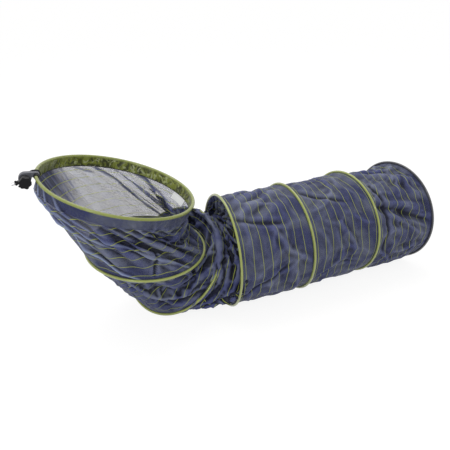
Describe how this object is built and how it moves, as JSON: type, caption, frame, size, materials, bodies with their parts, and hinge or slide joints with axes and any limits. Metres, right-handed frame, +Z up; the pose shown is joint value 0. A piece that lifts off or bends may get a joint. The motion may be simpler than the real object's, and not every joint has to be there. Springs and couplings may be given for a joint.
{
  "type": "fishing keepnet",
  "caption": "Fishing keepnet laid on the ground: a net tube on sprung hoops with a raised banded mouth and a tilt block for a bank stick.",
  "frame": {"origin": "the middle of the bounding box, on the ground that the hoops stand on", "axes": "+X along the straight row of hoops from the bend to the closed end, +Z up, +Y to the left when looking along +X"},
  "size_m": [1.4652, 0.5202, 0.5481],
  "materials": {
    "alloy_rod": "satin",
    "black_nylon": "moulded, satin",
    "black_tape": "woven polyester tape, dark",
    "ferrule_metal": "drawn and crimped",
    "green_band": "smooth coated cloth",
    "green_tape": "woven polyester tape, slightly glossy",
    "grey_nylon": "moulded, satin",
    "grip_rubber": "matt",
    "insert_brass": "turned",
    "navy_net": "fine knitted mesh",
    "screw_steel": "zinc plated",
    "seam_binding": "woven binding",
    "spring_wire": "drawn spring steel",
    "white_label": "smooth woven label, plain"
  },
  "bodies": {
    "ring_4": {"ring_4_tape": "green_tape", "ring_4_wire": "spring_wire", "ring_4_ferrule": "ferrule_metal", "net_3": "navy_net", "net_4": "navy_net"},
    "ring_5": {"ring_5_tape": "green_tape", "ring_5_wire": "spring_wire", "ring_5_ferrule": "ferrule_metal", "net_5": "navy_net"},
    "ring_6": {"ring_6_tape": "green_tape", "ring_6_wire": "spring_wire", "ring_6_ferrule": "ferrule_metal", "net_6": "navy_net"},
    "end_ring": {"end_ring_tape": "black_tape", "end_ring_wire": "spring_wire", "end_ring_ferrule": "ferrule_metal", "end_net": "navy_net"},
    "ring_3": {"ring_3_tape": "green_tape", "ring_3_wire": "spring_wire", "ring_3_ferrule": "ferrule_metal", "net_2": "navy_net"},
    "ring_2": {"ring_2_tape": "green_tape", "ring_2_wire": "spring_wire", "ring_2_ferrule": "ferrule_metal", "net_1": "navy_net"},
    "mouth": {"mouth_band": "green_band", "mouth_hoop": "alloy_rod", "mouth_seam": "seam_binding", "label_tag": "white_label", "hoop_socket": "black_nylon", "tilt_arm": "grey_nylon", "arm_backplate": "black_nylon", "upper_arm_screw": "screw_steel", "lower_arm_screw": "screw_steel", "bolt_washer": "screw_steel", "grip_washer": "grip_rubber", "pivot_bolt": "screw_steel"},
    "stud_block": {"stud_block": "black_nylon", "stud": "screw_steel", "pinch_screw": "black_nylon"},
    "lock_ring": {"lock_ring": "black_nylon"},
    "knob_washer": {"knob_washer": "screw_steel"},
    "tilt_knob": {"tilt_knob": "black_nylon", "knob_insert": "insert_brass"}
  },
  "joints": [
    {"name": "ring_5_collapse", "type": "slide", "parent": "ring_4", "child": "ring_5", "axis": [0.9996, -0.0298, 0], "range_m": [-0.23, 0.03], "deforming": ["net_4"]},
    {"name": "ring_6_collapse", "type": "slide", "parent": "ring_5", "child": "ring_6", "axis": [0.9996, 0.0293, 0], "range_m": [-0.23, 0.02], "deforming": ["net_5"]},
    {"name": "end_ring_collapse", "type": "slide", "parent": "ring_6", "child": "end_ring", "axis": [1, 0, 0], "range_m": [-0.215, 0.04], "deforming": ["net_6"]},
    {"name": "ring_3_bend", "type": "hinge", "parent": "ring_4", "child": "ring_3", "pos_m": [-0.34641, -0.00896, 0.0038], "axis": [0.3746, -0.9272, 0], "range_deg": [0, 25], "deforming": ["net_3"]},
    {"name": "ring_2_bend", "type": "hinge", "parent": "ring_3", "child": "ring_2", "pos_m": [-0.44882, -0.02108, 0.12723], "axis": [0.2733, -0.9528, -0.1325], "range_deg": [0, 25], "deforming": ["net_2"]},
    {"name": "mouth_drop", "type": "slide", "parent": "ring_2", "child": "mouth", "axis": [-0.3144, 0.1033, 0.9437], "range_m": [-0.08, 0], "deforming": ["net_1"]},
    {"name": "block_tilt", "type": "hinge", "parent": "mouth", "child": "stud_block", "pos_m": [-0.68956, 0.06337, 0.52663], "axis": [-0.202, -0.977, -0.0682], "range_deg": [-75, 75]},
    {"name": "lock_ring_spin", "type": "hinge", "parent": "stud_block", "child": "lock_ring", "pos_m": [-0.69312, 0.04617, 0.52543], "axis": [-0.951, 0.2123, -0.2249], "range_deg": [-180, 1080]},
    {"name": "knob_travel", "type": "slide", "parent": "stud_block", "child": "knob_washer", "axis": [-0.202, -0.977, -0.0682], "range_m": [0, 0.0025]},
    {"name": "knob_turn", "type": "hinge", "parent": "knob_washer", "child": "tilt_knob", "pos_m": [-0.68956, 0.06337, 0.52663], "axis": [-0.202, -0.977, -0.0682], "range_deg": [0, 720]}
  ],
  "couplings": [
    {"joint": "knob_travel", "follows": "knob_turn", "m_per_rad": 0.00019894}
  ]
}
